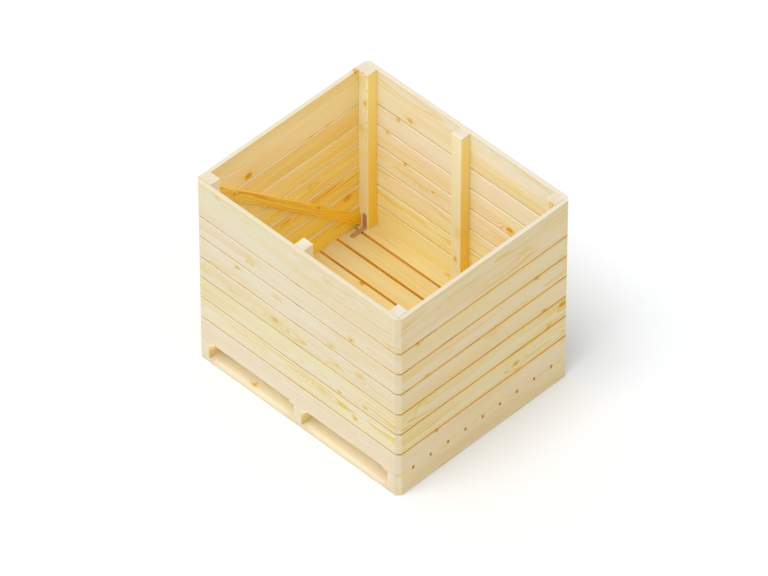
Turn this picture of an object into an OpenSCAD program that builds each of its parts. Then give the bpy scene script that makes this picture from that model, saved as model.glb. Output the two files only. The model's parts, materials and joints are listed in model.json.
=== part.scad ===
// Open-topped pallet box of planed softwood: boarded walls nailed to six posts,
// standing on a boarded floor with two fork pockets, braced inside both short walls.
// The box stands on Z = 0 with its origin at the middle of the base.
// X runs along the long walls, Y along the short walls and the fork pockets.

/* [Overall] */
// Outside length, along X
outer_l = 1200; // [900:10:1500]
// Outside width, along Y
outer_w = 1025; // [825:5:1225]

/* [Boards] */
// Thickness of every board
board_t = 20; // [16:1:26]
// Radius along a board's free long edges
board_edge_r = 3; // [1:0.5:5]
// Radius along the edges at which boards and stringers meet tightly
seam_edge_r = 0.5; // [0.2:0.1:3]
// Height of the top board of each wall
rim_board_h = 98; // [80:1:120]
// Height of the second board, butted under the top one
second_board_h = 102; // [80:1:120]
// Height of the spaced wall boards
wall_board_h = 110; // [90:1:130]
// Number of spaced wall boards in each wall
spaced_boards = 6; // [4:1:6]
// Gap above each spaced wall board
wall_gap = 9.5; // [4:0.5:15]
// Number of floor boards
floor_boards = 10; // [8:1:10]
// Gap between two floor boards
floor_gap = 12.5; // [4:0.5:15]
// How far every floor gap lies to the front of where boards of one width would put it
floor_shift = 7; // [0:0.5:10]

/* [Posts and base] */
// Width of a post along X
post_w = 56; // [50:1:70]
// Depth of a post along Y
post_d = 55; // [50:1:70]
// Width of a stringer
stringer_w = 46; // [40:1:60]
// Height of a stringer, which is also the height of the fork pockets
stringer_h = 90; // [70:1:110]
// Width of the skid boards under the front and back edges
skid_w = 110; // [90:1:130]
// Radius along the long edges of the posts and the lower edges of the skids
timber_edge_r = 2; // [1:0.5:3]

/* [Fork entry bevels] */
// Height of the bevel cut on the floor board and on the skid
bevel_h = 12; // [6:1:14]
// Depth of that bevel, inwards from the face
bevel_d = 18; // [8:1:24]
// Distance from a stringer at which the bevel stops
bevel_stop = 24; // [15:1:40]

/* [Braces] */
// Thickness of a diagonal brace
brace_t = 12; // [10:1:20]
// Width of a diagonal brace
brace_w = 50; // [40:1:60]
// Distance from the top of the walls down to the lower corner of a brace's upper end
brace_drop = 137; // [80:1:300]

/* [Corner brackets] */
// Length of each leg of a bracket
bracket_leg = 85; // [80:1:95]
// Width of a bracket
bracket_w = 20; // [16:1:24]
// Thickness of a bracket
bracket_t = 4; // [3:0.5:5]
// Distance of a bracket's middle from the short wall's inner face
bracket_inset = 36; // [30:1:38]

/* [Nails and screws] */
// Length of the nails
nail_len = 60; // [50:1:62]
// Length of the brace nails
brace_nail_len = 28; // [20:1:28]
// Radius of a nail
nail_r = 1.4; // [1:0.1:1.6]
// Radius of a nail head
nail_head_r = 3.2; // [2.5:0.1:3.5]
// Radius of a bracket screw
screw_r = 2; // [1.5:0.1:2.2]
// Radius of a bracket screw's head
screw_head_r = 4.2; // [3.5:0.1:5]
// Length of a bracket screw in the wood
screw_len = 16; // [10:1:18]

/* [Hidden] */
$fn = 32;
wood_pale = [0.93, 0.87, 0.75];
wood_floor = [0.91, 0.79, 0.56];
wood_brace = [0.85, 0.67, 0.38];
steel_brown = [0.55, 0.37, 0.24];
steel_pale = [0.78, 0.77, 0.74];

// Heights of the layers, from the ground up
skid_top = board_t;
stringer_top = skid_top + stringer_h;
floor_top = stringer_top + board_t;
wall_boards = spaced_boards + 2;
spaced_pitch = wall_board_h + wall_gap;
second_bottom = floor_top + spaced_boards * spaced_pitch;
rim_bottom = second_bottom + second_board_h;
top_z = rim_bottom + rim_board_h;

// Half sizes of the plan: outer faces, and the inner faces of the walls
half_l = outer_l / 2;
half_w = outer_w / 2;
inner_l = half_l - board_t;
inner_w = half_w - board_t;

// Plan positions of posts and stringers
end_post_x = inner_l - post_w / 2;
post_x = [-end_post_x, 0, end_post_x];
post_y = inner_w - post_d / 2;
post_face_y = inner_w - post_d;
end_stringer_x = inner_l - stringer_w / 2;
stringer_x = [-end_stringer_x, 0, end_stringer_x];

// Floor boards share the width with equal gaps. The shift makes the first one narrower
// and the last one wider than the others
mean_floor_w = (outer_w - (floor_boards - 1) * floor_gap) / floor_boards;
function floor_y(k) = -half_w + (k - 1) * (mean_floor_w + floor_gap) - (k > 1 ? floor_shift : 0);
function floor_w(k) =
    k == 1 ? mean_floor_w - floor_shift
    : k == floor_boards ? mean_floor_w + floor_shift
    : mean_floor_w;

// Wall boards are numbered from the top: 1 is the rim, 2 is butted under it
function board_z(k) =
    k == 1 ? rim_bottom
    : k == 2 ? second_bottom
    : floor_top + (wall_boards - k) * spaced_pitch;
function board_h(k) = k == 1 ? rim_board_h : k == 2 ? second_board_h : wall_board_h;

// Edge radii below and above. Edges are sharp where they meet another timber: between wall
// boards 1 and 2, and everywhere between the lowest wall board and the skids
board_edges = [board_edge_r, board_edge_r];
sharp_below = [seam_edge_r, board_edge_r];
sharp_above = [board_edge_r, seam_edge_r];
sharp_edges = [seam_edge_r, seam_edge_r];
post_edges = [timber_edge_r, timber_edge_r];
skid_edges = [timber_edge_r, seam_edge_r];
function wall_board_edges(k) =
    k == 1 || k == wall_boards ? sharp_below
    : k == 2 ? sharp_above
    : board_edges;

// Nail places, as fractions of a board's own width: the long and short walls differ
// so that their nails pass each other inside a corner post
long_wall_nails = [0.25, 0.75];
short_wall_nails = [0.12, 0.88];
deck_nails = [0.25, 0.75];
nail_head_h = 1.2;

// The side boards' nails sit above the middle of the board, one under every second floor gap
side_nail_z = 0.6 * stringer_top;
side_nail_step = 2;

// Brace geometry in the plane of the short wall
brace_run = 2 * post_face_y;
brace_rise = top_z - brace_drop - floor_top;
brace_angle = atan(brace_rise / brace_run);
brace_cut_h = brace_w / cos(brace_angle);
function brace_y(z) = post_face_y - (z - floor_top - brace_cut_h / 2) * brace_run / brace_rise;

// Bracket screws, as distances from the corner along the floor leg and the post leg
bracket_x = inner_l - bracket_inset;
floor_leg_screws = [42, 68];
post_leg_screws = [30, 70];
screw_head_h = 2.2;

// How many floor boards at each side of the floor can have bracket screws in them
bracket_boards = 3;

long_walls = ["front", "back"];
short_walls = ["left", "right"];
post_names = ["left", "mid", "right"];
signs = [-1, 1];
function side_of(name) = (name == "front" || name == "left") ? -1 : 1;

// Which end a post or stringer is at: -1 left, 0 middle, 1 right
function end_of(name) = name == "mid" ? 0 : side_of(name);

// Rectangle from the origin with rounded corners: r = [radius below, radius above]
module rounded_section(w, h, r) {
    translate([0, r[0]]) square([w, h - r[0] - r[1]]);
    translate([r[0], 0]) square([w - 2 * r[0], r[0]]);
    translate([r[1], h - r[1]]) square([w - 2 * r[1], r[1]]);
    for (x = [r[0], w - r[0]]) translate([x, r[0]]) circle(r[0]);
    for (x = [r[1], w - r[1]]) translate([x, h - r[1]]) circle(r[1]);
}

// Timber along X from x0 to x1, with its section's low corner at y, z
module timber_x(x0, x1, y, z, w, h, r) {
    translate([x0, y, z]) rotate([90, 0, 90]) linear_extrude(x1 - x0) rounded_section(w, h, r);
}

// Timber along Y from y0 to y1, with its section's low corner at x, z
module timber_y(y0, y1, x, z, w, h, r) {
    translate([x, y1, z]) rotate([90, 0, 0]) linear_extrude(y1 - y0) rounded_section(w, h, r);
}

// Everything inside the box's plan, whose four corners are cut off at 45 degrees
module cut_corners() {
    c = board_t;
    outline = [
        [half_l - c, -half_w], [half_l, c - half_w], [half_l, half_w - c], [half_l - c, half_w],
        [c - half_l, half_w], [-half_l, half_w - c], [-half_l, c - half_w], [c - half_l, -half_w]
    ];
    intersection() {
        children();
        linear_extrude(top_z) polygon(outline);
    }
}

// A nail pointing along -Z, with its head flush at Z = 0
module nail(len) {
    translate([0, 0, -len]) cylinder(r = nail_r, h = len);
    translate([0, 0, -nail_head_h]) cylinder(r = nail_head_r, h = nail_head_h);
}

// A bracket screw pointing along -Z, with its head standing on Z = 0
module bracket_screw() {
    translate([0, 0, -bracket_t - screw_len]) cylinder(r = screw_r, h = bracket_t + screw_len);
    cylinder(r = screw_head_r, h = screw_head_h);
}

// The two nails that hold board k of a long wall to each post
module long_wall_nails_of(side, k) {
    for (x = post_x)
        for (f = long_wall_nails)
            translate([x, side * half_w, board_z(k) + f * board_h(k)])
                rotate([-side * 90, 0, 0]) nail(nail_len);
}

// The two nails that hold board k of a short wall to each corner post
module short_wall_nails_of(side, k) {
    for (end = signs)
        for (f = short_wall_nails)
            translate([side * half_l, end * post_y, board_z(k) + f * board_h(k)])
                rotate([0, side * 90, 0]) nail(nail_len);
}

// The nail through the brace into board k of a short wall
module brace_nail_of(side, k) {
    z = board_z(k) + board_h(k) / 2;
    translate([side * (inner_l - brace_t), brace_y(z), z])
        rotate([0, -side * 90, 0]) nail(brace_nail_len);
}

// The nails of floor board k, down into the stringers
module floor_nails_of(k) {
    for (x = stringer_x)
        for (f = deck_nails)
            translate([x, floor_y(k) + f * floor_w(k), floor_top]) nail(nail_len);
}

// The nails of a skid, up into the stringers
module skid_nails_of(side) {
    for (x = stringer_x)
        for (f = deck_nails)
            translate([x, side * (half_w - f * skid_w), 0]) rotate([180, 0, 0]) nail(nail_len);
}

// The nails of a side board, across into the outer stringer, in line with every second floor gap
module side_nails_of(side) {
    for (k = [2:side_nail_step:floor_boards])
        translate([side * half_l, floor_y(k) - floor_gap / 2, side_nail_z])
            rotate([0, side * 90, 0]) nail(nail_len);
}

// The screws of one bracket at the corner given by the signs sx, sy
module bracket_screws_of(sx, sy) {
    for (d = floor_leg_screws)
        translate([sx * bracket_x, sy * (post_face_y - d), floor_top + bracket_t]) bracket_screw();
    for (d = post_leg_screws)
        translate([sx * bracket_x, sy * (post_face_y - bracket_t), floor_top + d])
            rotate([sy * 90, 0, 0]) bracket_screw();
}

module long_wall_board(side, k) {
    y = side < 0 ? -half_w : inner_w;
    color(wood_pale) difference() {
        cut_corners()
            timber_x(-half_l, half_l, y, board_z(k), board_t, board_h(k), wall_board_edges(k));
        long_wall_nails_of(side, k);
    }
}

module short_wall_board(side, k) {
    x = side < 0 ? -half_l : inner_l;
    color(wood_pale) difference() {
        timber_y(-inner_w, inner_w, x, board_z(k), board_t, board_h(k), wall_board_edges(k));
        short_wall_nails_of(side, k);
        if (k > 1) brace_nail_of(side, k);
    }
}

// A post stands on the floor boards and ends level with the rim
module post(side, end) {
    color(wood_floor) difference() {
        translate([end * end_post_x - post_w / 2, side * post_y - post_d / 2, floor_top])
            linear_extrude(top_z - floor_top) rounded_section(post_w, post_d, post_edges);
        for (k = [1:wall_boards]) {
            long_wall_nails_of(side, k);
            if (end != 0) short_wall_nails_of(end, k);
        }
        if (end != 0) bracket_screws_of(end, side);
    }
}

// Mirrored front to back where the sign is negative
module flip_y(sign) {
    if (sign < 0) mirror([0, 1, 0]) children();
    else children();
}

// The wedge cut off the edge of a board at the face on the given side, between x0 and x1;
// up is 1 for a board's lower edge and -1 for its upper edge
module bevel_cut(side, x0, x1, z, up) {
    past = 1;
    run = bevel_d * (1 + past / bevel_h);
    rise = bevel_h * (1 + past / bevel_d);
    section = [[-past, -up * past], [run, -up * past], [-past, up * rise]];
    translate([x0, side * half_w, z]) flip_y(-side)
        rotate([90, 0, 90]) linear_extrude(x1 - x0) polygon(section);
}

// The bevels of one board edge, one over each fork pocket
module fork_bevels(side, z, up) {
    near = stringer_w / 2 + bevel_stop;
    far = inner_l - stringer_w - bevel_stop;
    bevel_cut(side, near, far, z, up);
    bevel_cut(side, -far, -near, z, up);
}

module floor_board(k) {
    color(wood_floor) difference() {
        cut_corners()
            timber_x(-half_l, half_l, floor_y(k), stringer_top, floor_w(k), board_t, sharp_edges);
        floor_nails_of(k);
        if (k == 1) fork_bevels(-1, stringer_top, 1);
        if (k == floor_boards) fork_bevels(1, stringer_top, 1);
        if (k <= bracket_boards) for (sx = signs) bracket_screws_of(sx, -1);
        if (k > floor_boards - bracket_boards) for (sx = signs) bracket_screws_of(sx, 1);
    }
}

// A stringer runs the full width and carries the floor
module stringer(end) {
    x = end * end_stringer_x - stringer_w / 2;
    color(wood_pale) difference() {
        timber_y(-half_w, half_w, x, skid_top, stringer_w, stringer_h, sharp_edges);
        for (k = [1:floor_boards]) floor_nails_of(k);
        for (side = signs) skid_nails_of(side);
        if (end != 0) side_nails_of(end);
    }
}

// A side board closes the end of the base from the ground up to the floor boards
module side_board(side) {
    x = side < 0 ? -half_l : inner_l;
    color(wood_pale) difference() {
        cut_corners() timber_y(-half_w, half_w, x, 0, board_t, stringer_top, sharp_above);
        side_nails_of(side);
    }
}

// A skid runs between the side boards under the stringers' ends
module skid(side) {
    y = side < 0 ? -half_w : half_w - skid_w;
    color(wood_pale) difference() {
        timber_x(-inner_l, inner_l, y, 0, skid_w, board_t, skid_edges);
        skid_nails_of(side);
        fork_bevels(side, skid_top, -1);
    }
}

// A brace falls from the front post down to the foot of the back post
module brace(side) {
    y = post_face_y;
    high = floor_top + brace_rise;
    outline = [[-y, high], [y, floor_top], [y, floor_top + brace_cut_h], [-y, high + brace_cut_h]];
    x = side < 0 ? -inner_l : inner_l - brace_t;
    color(wood_brace) difference() {
        translate([x, 0, 0]) rotate([90, 0, 90]) linear_extrude(brace_t) polygon(outline);
        for (k = [2:wall_boards]) brace_nail_of(side, k);
    }
}

// An angle bracket's two legs, round at their ends
module bracket(sx, sy) {
    r = bracket_w / 2;
    difference() {
        translate([sx * bracket_x, sy * post_face_y, floor_top]) {
            flip_y(-sy) {
                translate([-r, 0, 0]) cube([bracket_w, bracket_leg - r, bracket_t]);
                translate([0, bracket_leg - r, 0]) cylinder(r = r, h = bracket_t);
                translate([-r, 0, 0]) cube([bracket_w, bracket_t, bracket_leg - r]);
                translate([0, 0, bracket_leg - r]) rotate([-90, 0, 0]) cylinder(r = r, h = bracket_t);
            }
        }
        bracket_screws_of(sx, sy);
    }
}

module corner_brackets() {
    color(steel_brown)
        for (sx = signs) for (sy = signs) bracket(sx, sy);
}

module bracket_screws() {
    color(steel_brown)
        for (sx = signs) for (sy = signs) bracket_screws_of(sx, sy);
}

module nails() {
    color(steel_pale) {
        for (side = signs) {
            for (k = [1:wall_boards]) {
                long_wall_nails_of(side, k);
                short_wall_nails_of(side, k);
            }
            for (k = [2:wall_boards]) brace_nail_of(side, k);
            skid_nails_of(side);
            side_nails_of(side);
        }
        for (k = [1:floor_boards]) floor_nails_of(k);
    }
}

for (w = long_walls) for (k = [1:wall_boards])
    long_wall_board(side_of(w), k);
for (w = short_walls) for (k = [1:wall_boards])
    short_wall_board(side_of(w), k);
for (w = long_walls) for (p = post_names)
    post(side_of(w), end_of(p));
for (k = [1:floor_boards])
    floor_board(k);
for (p = post_names)
    stringer(end_of(p));
for (w = short_walls)
    side_board(side_of(w));
for (w = long_walls)
    skid(side_of(w));
for (w = short_walls)
    brace(side_of(w));
corner_brackets();
bracket_screws();
nails();
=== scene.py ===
"""Looks of an open-topped pallet box of planed softwood, built round its CAD frame.

Every CAD piece is replaced by a mesh built here: timbers with eased, slightly uneven edges,
nails, bent corner brackets and their screws. All sizes are in metres.
"""

import json
import math
import random

import bmesh
import bpy
from mathutils import Matrix, Vector


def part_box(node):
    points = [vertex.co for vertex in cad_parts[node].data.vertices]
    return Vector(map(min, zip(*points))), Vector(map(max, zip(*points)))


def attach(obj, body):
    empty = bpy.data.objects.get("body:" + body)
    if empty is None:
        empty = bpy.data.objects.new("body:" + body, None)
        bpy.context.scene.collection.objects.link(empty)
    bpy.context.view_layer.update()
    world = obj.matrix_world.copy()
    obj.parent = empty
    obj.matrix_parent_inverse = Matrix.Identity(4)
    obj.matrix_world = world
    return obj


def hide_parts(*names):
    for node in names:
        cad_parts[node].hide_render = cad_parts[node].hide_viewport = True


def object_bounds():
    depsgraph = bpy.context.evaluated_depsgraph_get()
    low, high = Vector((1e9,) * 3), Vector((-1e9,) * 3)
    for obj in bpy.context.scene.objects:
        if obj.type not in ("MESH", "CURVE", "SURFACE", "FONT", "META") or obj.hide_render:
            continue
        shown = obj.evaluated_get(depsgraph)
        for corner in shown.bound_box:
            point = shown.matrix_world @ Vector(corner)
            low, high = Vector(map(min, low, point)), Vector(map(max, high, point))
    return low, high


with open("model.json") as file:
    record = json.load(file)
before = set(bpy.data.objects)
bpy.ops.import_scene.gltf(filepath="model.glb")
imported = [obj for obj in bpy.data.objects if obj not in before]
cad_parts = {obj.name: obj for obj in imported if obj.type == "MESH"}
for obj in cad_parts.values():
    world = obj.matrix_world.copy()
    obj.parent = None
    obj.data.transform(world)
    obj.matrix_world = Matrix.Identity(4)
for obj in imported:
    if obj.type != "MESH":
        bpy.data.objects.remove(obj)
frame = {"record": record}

cad_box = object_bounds()
BODY = "root"
SLOTS = {part["node"]: part["material_slot"] for part in frame["record"]["subparts"]}

# ------------------------ driving sizes
SHY = 0.0003            # every timber stays this far inside its CAD solid
WALL_BOARDS = 8
FLOOR_BOARDS = 10
POSTS = ("left", "mid", "right")
LONG_WALLS = ("front", "back")
SHORT_WALLS = ("left", "right")

BOARD_EDGE = 0.003      # radius along a board's free long edges
TIMBER_EDGE = 0.002     # the same on posts, and under the skids
SEAM_EDGE = 0.0005      # the same where timbers meet tightly
END_EASE = 0.0005       # radius round a timber's ends
ARC_STEPS = 4           # facets in a rounded edge
SUPPORT = 0.001         # flat strip kept beside each rounded edge
STATION_STEP = 0.075    # distance between sections along a timber
BOW = 0.0005            # how far a board may bow sideways over its length
DENT_LENGTH, DENT_DEPTH = 0.006, 0.0012     # of the small dents in the free edges
EDGE_WAVE = 0.14        # how much an edge's radius varies along it, as a share
LEAST_EDGE = 0.0003     # smallest radius of an edge
END_CLEAR = 0.002       # length beside the cut corners without a section

RAMP_HEIGHT = 0.012     # the bevels over and under the fork pockets
RAMP_DEPTH = 0.018
RAMP_STOP = 0.024       # distance from a stringer at which they stop
RAMP_RUNOUT = 0.004

BRACE_WIDTH = 0.050

lowest, highest = cad_box
HALF_L = highest.x
HALF_W = highest.y
TOP = highest.z
BOARD_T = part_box("front_board_1")[1].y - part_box("front_board_1")[0].y
PLAN_SUM = HALF_L + HALF_W - BOARD_T    # |x| + |y| along the cut corners


# ------------------------ camera
CAMERA_AZIMUTH = 44.859
CAMERA_ELEVATION = 45.074
CAMERA_ROLL = -0.040
CAMERA_DISTANCE = 37.454
CAMERA_RIGHT = 0.0044
CAMERA_UP = -0.0462
LENS = 416.6
SENSOR = 36.0


def view_axes(azimuth, elevation):
    """The camera's right, up and backward directions."""
    a, e = math.radians(azimuth), math.radians(elevation)
    back = Vector((math.sin(a) * math.cos(e), -math.cos(a) * math.cos(e), math.sin(e)))
    right = Vector((math.cos(a), math.sin(a), 0))
    return right, back.cross(right), back


def make_camera():
    data = bpy.data.cameras.new("camera")
    data.lens = LENS
    data.sensor_width = SENSOR
    data.clip_start, data.clip_end = 0.1, 200
    camera = bpy.data.objects.new("camera", data)
    right, up, back = view_axes(CAMERA_AZIMUTH, CAMERA_ELEVATION)
    turn = Matrix((right, up, back)).transposed().to_4x4()
    centre = Vector((0, 0, TOP / 2))
    place = centre + right * CAMERA_RIGHT + up * CAMERA_UP + back * CAMERA_DISTANCE
    roll = Matrix.Rotation(math.radians(CAMERA_ROLL), 4, "Z")
    camera.matrix_world = Matrix.Translation(place) @ turn @ roll
    bpy.context.scene.collection.objects.link(camera)
    bpy.context.scene.camera = camera


# ------------------------ node helper
class Nodes:
    """Short ways to add and join the nodes of one material."""

    def __init__(self, name):
        self.material = bpy.data.materials.new(name)
        self.material.use_nodes = True
        self.tree = self.material.node_tree
        self.shader = self.tree.nodes["Principled BSDF"]

    def add(self, kind, inputs=(), **settings):
        node = self.tree.nodes.new(kind)
        for key, value in settings.items():
            setattr(node, key, value)
        self.feed(node, dict(inputs))
        return node

    def feed(self, node, inputs):
        """Links or sets a node's inputs by their names."""
        for socket, value in inputs.items():
            self.join(value, node.inputs[socket])

    def join(self, value, socket):
        if isinstance(value, bpy.types.NodeSocket):
            self.tree.links.new(value, socket)
        elif value is not None:
            socket.default_value = value

    def math(self, operation, a, b=None, c=None):
        node = self.add("ShaderNodeMath", operation=operation)
        for i, value in enumerate((a, b, c)):
            self.join(value, node.inputs[i])
        return node.outputs[0]

    def plus(self, a, b):
        return self.math("ADD", a, b)

    def minus(self, a, b):
        return self.math("SUBTRACT", a, b)

    def times(self, a, b):
        return self.math("MULTIPLY", a, b)

    def over(self, a, b):
        return self.math("DIVIDE", a, b)

    def scaled(self, value, factor, offset):
        return self.math("MULTIPLY_ADD", value, factor, offset)

    def larger(self, a, b):
        return self.math("MAXIMUM", a, b)

    def smaller(self, a, b):
        return self.math("MINIMUM", a, b)

    def vector(self, operation, a, b=None, output=0):
        node = self.add("ShaderNodeVectorMath", operation=operation)
        for i, value in enumerate((a, b)):
            self.join(value, node.inputs[i])
        return node.outputs[output]

    def attribute(self, name, kind="OBJECT"):
        node = self.add("ShaderNodeAttribute", attribute_name=name, attribute_type=kind)
        return node.outputs["Vector"]

    def split(self, vector):
        return self.add("ShaderNodeSeparateXYZ", {"Vector": vector}).outputs[:]

    def combine(self, x, y, z):
        return self.add("ShaderNodeCombineXYZ", {"X": x, "Y": y, "Z": z}).outputs[0]

    def grey(self, value):
        return self.combine(value, value, value)

    def noise(self, vector, scale=1.0, detail=2.0, rough=0.5, dimensions="3D"):
        place = "W" if dimensions == "1D" else "Vector"
        inputs = {place: vector, "Scale": scale, "Detail": detail, "Roughness": rough}
        return self.add("ShaderNodeTexNoise", inputs, noise_dimensions=dimensions)

    def ramp(self, value, low, high, to_low=0.0, to_high=1.0, smooth=True):
        """value taken from low..high to to_low..to_high, held at both ends."""
        kind = "SMOOTHSTEP" if smooth else "LINEAR"
        inputs = {"Value": value, "From Min": low, "From Max": high, "To Min": to_low,
                  "To Max": to_high}
        return self.add("ShaderNodeMapRange", inputs, interpolation_type=kind).outputs[0]

    def mix(self, factor, a, b, blend="MIX"):
        node = self.add("ShaderNodeMix", data_type="RGBA", blend_type=blend)
        self.join(factor, node.inputs["Factor"])
        for name, value in (("A", a), ("B", b)):
            socket = next(s for s in node.inputs if s.name == name and s.type == "RGBA")
            self.join(value, socket)
        return next(s for s in node.outputs if s.type == "RGBA")

    def tinted(self, colour, tone):
        """The colour multiplied by a tone."""
        return self.mix(1.0, colour, tone, "MULTIPLY")


def rgb(red, green, blue):
    """A display colour from 0 to 255 as scene-linear RGBA."""
    def linear(c):
        c /= 255
        return c / 12.92 if c <= 0.04045 else ((c + 0.055) / 1.055) ** 2.4
    return (linear(red), linear(green), linear(blue), 1.0)


# ------------------------ wood
# Colour multipliers of each group of timbers, found by the first start of a name that fits
# (floor_board_1 stands for floor_board_10 too):
#   whole  of the whole timber; painted shade on the right wall, the side boards and the floor
#          boards inside the box, and painted light on the posts
#   end    of its ends
#   edge   of its long edges: painted light and shade in the gaps between boards and on the narrow edges
#   high, low  of the faces turned to the direction "inward", at the rim and at the floor: painted
#              shade and bounce light inside the box
PLAIN = (1.0, 1.0, 1.0)
# Painted light of the braces: paler narrow edges, and on the inward face painted shade and bounce light,
# paler at the top and deeper orange at the bottom
BRACE = dict(edge=(1.02, 1.12, 1.5), high=(0.95, 1.04, 1.35), low=(1.08, 1.08, 0.36))
GROUPS = {
    "front_board": dict(whole=(1.0, 0.985, 0.90), end=(0.96, 0.94, 0.87), edge=(1.04, 1.03, 1.0),
                        high=(1.06, 1.08, 1.0), low=(1.06, 1.0, 0.7), inward=(0, 1, 0)),
    "back_board": dict(edge=(1.0, 0.95, 0.86), high=(1.12, 1.20, 1.36), low=(1.19, 1.23, 1.12),
                       inward=(0, -1, 0)),
    # The right wall's darker, yellower tone is painted shade of the side turned from the lamp
    "right_board": dict(whole=(0.95, 0.87, 0.68), edge=(1.13, 0.97, 0.56), high=(1.1, 1.1, 0.95),
                        low=(1.1, 1.0, 0.7), inward=(-1, 0, 0)),
    "left_board": dict(whole=(1.0, 0.97, 0.80), edge=(1.05, 1.04, 1.12), high=(1.12, 1.06, 0.86),
                       low=(1.23, 1.04, 0.28), inward=(1, 0, 0)),
    # The side boards share the right wall's painted shade tone
    "side_board": dict(whole=(0.95, 0.87, 0.69)),
    # The posts' lighter tones are painted light inside the box; the back posts' faces turned to +X get
    # painted shade through high and low
    "post_back": dict(whole=(1.16, 1.24, 1.20), end=(0.97, 0.97, 1.05), high=(1.04, 0.89, 0.44),
                      low=(1.05, 0.74, 0.12), inward=(1, 0, 0)),
    "post": dict(whole=(1.14, 1.16, 1.12), end=(0.97, 0.99, 1.08)),
    # The floor boards' darker, more orange tone is painted shade inside the box; the first and last
    # board carry it only on their top faces, through high and low
    "floor_board_1": dict(end=(0.97, 0.92, 0.76), edge=(1.2, 0.8, 0.2), high=(0.89, 0.83, 0.63),
                          low=(0.89, 0.83, 0.63), inward=(0, 0, 1)),
    "floor_board": dict(whole=(0.88, 0.83, 0.67), end=(0.97, 0.92, 0.76), edge=(1.35, 0.90, 0.22)),
    # The stringers' faces turned to +X are painted shade inside the fork pockets
    "stringer": dict(high=(0.98, 0.85, 0.55), low=(0.98, 0.85, 0.55), inward=(1, 0, 0)),
    "skid": dict(whole=(0.91, 0.90, 0.91)),
    "brace_left": dict(BRACE, inward=(1, 0, 0)),
    "brace_right": dict(BRACE, inward=(-1, 0, 0)),
}


def numbered(start, first, *values):
    """The values under the names start_first and so on."""
    return {f"{start}_{first + i}": value for i, value in enumerate(values)}


# Looks of single timbers: how yellow, from pinkish at -1 to yellow at 1, how strong the growth
# lines are, and how wide the growth rings
SHADES = {
    **numbered("front_board", 1, (0.1, 0.9, 1.0), (0.0, 0.9, 1.0), (-0.3, 1.1, 1.3), (-0.1, 0.9, 1.0),
        (0.0, 0.9, 1.0), (0.3, 1.2, 1.2), (0.3, 1.5, 1.1), (-0.2, 0.5, 1.0)),
    **numbered("right_board", 1, (0.0, 1.4, 1.3), (-0.25, 1.3, 1.2), (0.4, 0.8, 1.0), (0.1, 1.3, 1.0),
        (-0.15, 1.2, 1.0), (0.5, 1.5, 1.1), (0.5, 2.0, 1.1), (-0.3, 1.1, 1.0)),
    **numbered("left_board", 1, (0.0, 0.9, 1.0), (-0.3, 0.9, 1.0), (0.0, 3.2, 1.6), (0.2, 0.9, 1.0),
        (0.1, 2.0, 1.3), (0.1, 3.0, 1.6), (0.2, 1.5, 1.3), (0.1, 1.8, 1.6)),
    **numbered("back_board", 1, (0.2, 0.9, 1.0), (0.3, 1.8, 1.6), (0.1, 0.7, 1.0), (0.0, 1.5, 1.3),
        (0.1, 1.0, 1.0), (0.2, 1.2, 1.0), (0.9, 1.3, 1.0), (0.9, 1.0, 1.0)),
    **numbered("floor_board", 7, (0.5, 1.4, 1.2), (0.3, 1.4, 1.2), (0.4, 1.5, 1.2), (0.2, 1.5, 1.2)),
    "side_board_right": (0.1, 1.2, 1.0), "brace_left": (0.0, 1.3, 1.3),
}

# The wood is solid: growth rings round a pith line that runs beside each timber, bent by slow
# waves and round the knots. The grain attribute is a place inside the timber, as a distance
# along its length, across its width and through its thickness, from its middle. A timber's own
# looks are its object's properties:
#   pith   (across, through, seed)          place of the pith line in the section
#   drift  (across, through, ring width)    how the pith line leans, and the ring width
#   lines  how strong its growth lines are
#   tone   colour multiplier of this timber, which is painted shade or painted light for some groups
#   high, low  painted shade and bounce light of the faces turned to "inward", at the rim and at
#              the floor
#   edge_painted_light  painted light and shade of the long edges, which face "below" and "above"
#   end_tone   multiplier of the ends, which face "along" or away from it
#   half   half length, half width and half thickness
#   knot_1 to knot_3  (along, across, radius)
#   dark   how dark each of the three knots is, from 0 for a mere swirl
KNOTS = ("knot_1", "knot_2", "knot_3")
NO_KNOT = (9.0, 9.0, 0.001)
DARK_KNOT = (208, 130, 2)
SLOW_WAVE, QUICK_WAVE = 0.034, 0.0045   # how far the waves bend the pith line, from side to side
KNOT_LENGTH = 1.4                       # a knot's length along the grain over its width
SWIRL_LENGTH, SWIRL_WIDTH = 2.6, 1.9    # reach of the bent rings, over the knot's own
KNOT_RING = 0.0017                      # ring width inside a knot
WEAR = 0.003                            # how far in from an edge the worn band reaches
PINKISH, YELLOWISH, WORN = (1.0, 0.965, 0.955), (1.0, 1.0, 0.90), (1.05, 1.04, 1.02)


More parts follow.
